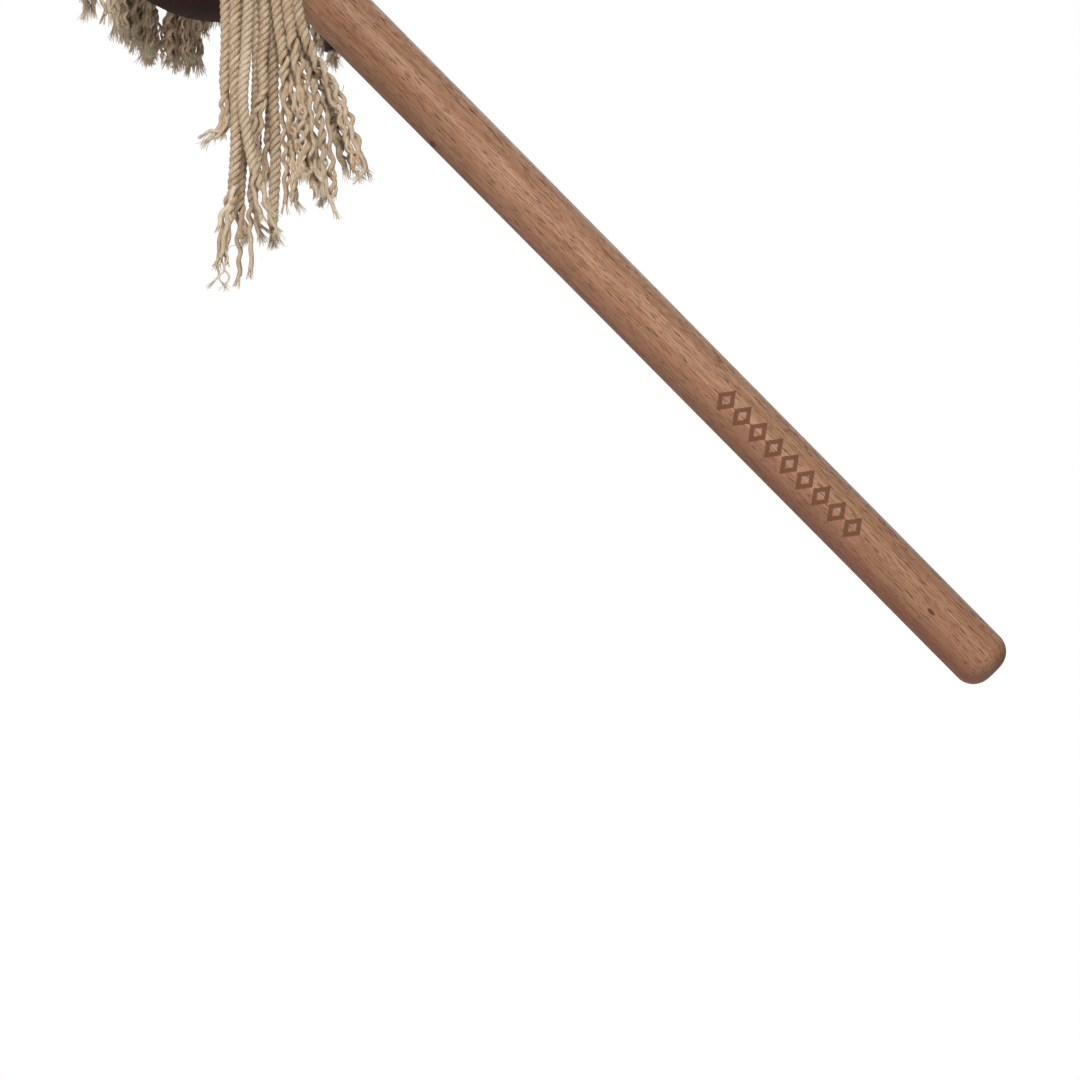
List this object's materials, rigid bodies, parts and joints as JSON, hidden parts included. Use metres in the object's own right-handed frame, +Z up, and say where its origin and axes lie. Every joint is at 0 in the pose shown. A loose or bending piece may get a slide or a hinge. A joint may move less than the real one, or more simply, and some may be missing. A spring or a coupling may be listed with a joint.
{
  "type": "corded fly whisk",
  "caption": "Hand-held fly whisk: cotton cords bound round the head of a round wooden handle, in a bowl-shaped leather cup.",
  "frame": {"origin": "middle of the hand's grip, on the handle's axis, 110 mm from the butt end", "axes": "+Z up as the whisk is held, with the handle at about 45 degrees and its head end towards -X and +Z; +Y is square to the handle and away from the viewer"},
  "size_m": [0.3877, 0.1556, 0.3857],
  "materials": {
    "beech": "satin",
    "leather": "satin",
    "cotton": "matte",
    "thread": "matte",
    "brass": "satin"
  },
  "bodies": {
    "stick": {"cord_bundle": "cotton", "cup_tack_1": "brass", "cup_tack_2": "brass", "cup_tack_3": "brass", "cup_tack_4": "brass", "handle": "beech", "leather_cup": "leather", "neck_thread": "thread", "root_thread_lower": "thread", "root_thread_upper": "thread"},
    "front_left_lock": {"front_left_cord_1": "cotton", "front_left_cord_2": "cotton", "front_left_cord_3": "cotton", "front_left_cord_4": "cotton", "front_left_cord_5": "cotton", "front_left_cord_6": "cotton", "front_left_cord_7": "cotton", "front_left_cord_8": "cotton"},
    "front_right_lock": {"front_right_cord_1": "cotton", "front_right_cord_2": "cotton", "front_right_cord_3": "cotton", "front_right_cord_4": "cotton", "front_right_cord_5": "cotton", "front_right_cord_6": "cotton", "front_right_cord_7": "cotton"},
    "back_left_lock": {"back_left_cord_1": "cotton", "back_left_cord_2": "cotton", "back_left_cord_3": "cotton", "back_left_cord_4": "cotton", "back_left_cord_5": "cotton", "back_left_cord_6": "cotton", "back_left_cord_7": "cotton"},
    "back_middle_lock": {"back_middle_cord_1": "cotton", "back_middle_cord_2": "cotton", "back_middle_cord_3": "cotton", "back_middle_cord_4": "cotton", "back_middle_cord_5": "cotton", "back_middle_cord_6": "cotton"},
    "back_right_lock": {"back_right_cord_1": "cotton", "back_right_cord_2": "cotton", "back_right_cord_3": "cotton", "back_right_cord_4": "cotton", "back_right_cord_5": "cotton", "back_right_cord_6": "cotton", "back_right_cord_7": "cotton", "back_right_cord_8": "cotton", "tie_thread": "thread"},
    "left_lock": {"left_cord_1": "cotton", "left_cord_2": "cotton", "left_cord_3": "cotton", "left_cord_4": "cotton"}
  },
  "joints": [
    {"name": "front_left_swing", "type": "hinge", "parent": "stick", "child": "front_left_lock", "pos_m": [-0.2343, -0.058, 0.27691], "axis": [-0.9539, 0.3, 0], "range_deg": [0, 60]},
    {"name": "front_right_swing", "type": "hinge", "parent": "stick", "child": "front_right_lock", "pos_m": [-0.2183, -0.053, 0.29391], "axis": [-0.9166, -0.3998, 0], "range_deg": [0, 60]},
    {"name": "back_left_swing", "type": "hinge", "parent": "stick", "child": "back_left_lock", "pos_m": [-0.2838, 0.045, 0.26091], "axis": [0.7071, 0.7071, 0], "range_deg": [0, 60]},
    {"name": "back_middle_swing", "type": "hinge", "parent": "stick", "child": "back_middle_lock", "pos_m": [-0.2603, 0.053, 0.27291], "axis": [1, 0, 0], "range_deg": [0, 60]},
    {"name": "back_right_swing", "type": "hinge", "parent": "stick", "child": "back_right_lock", "pos_m": [-0.2263, 0.04, 0.28991], "axis": [0.7507, -0.6606, 0], "range_deg": [0, 60]},
    {"name": "left_swing", "type": "hinge", "parent": "stick", "child": "left_lock", "pos_m": [-0.2918, 0.002, 0.25691], "axis": [0, 1, 0], "range_deg": [0, 60]}
  ]
}
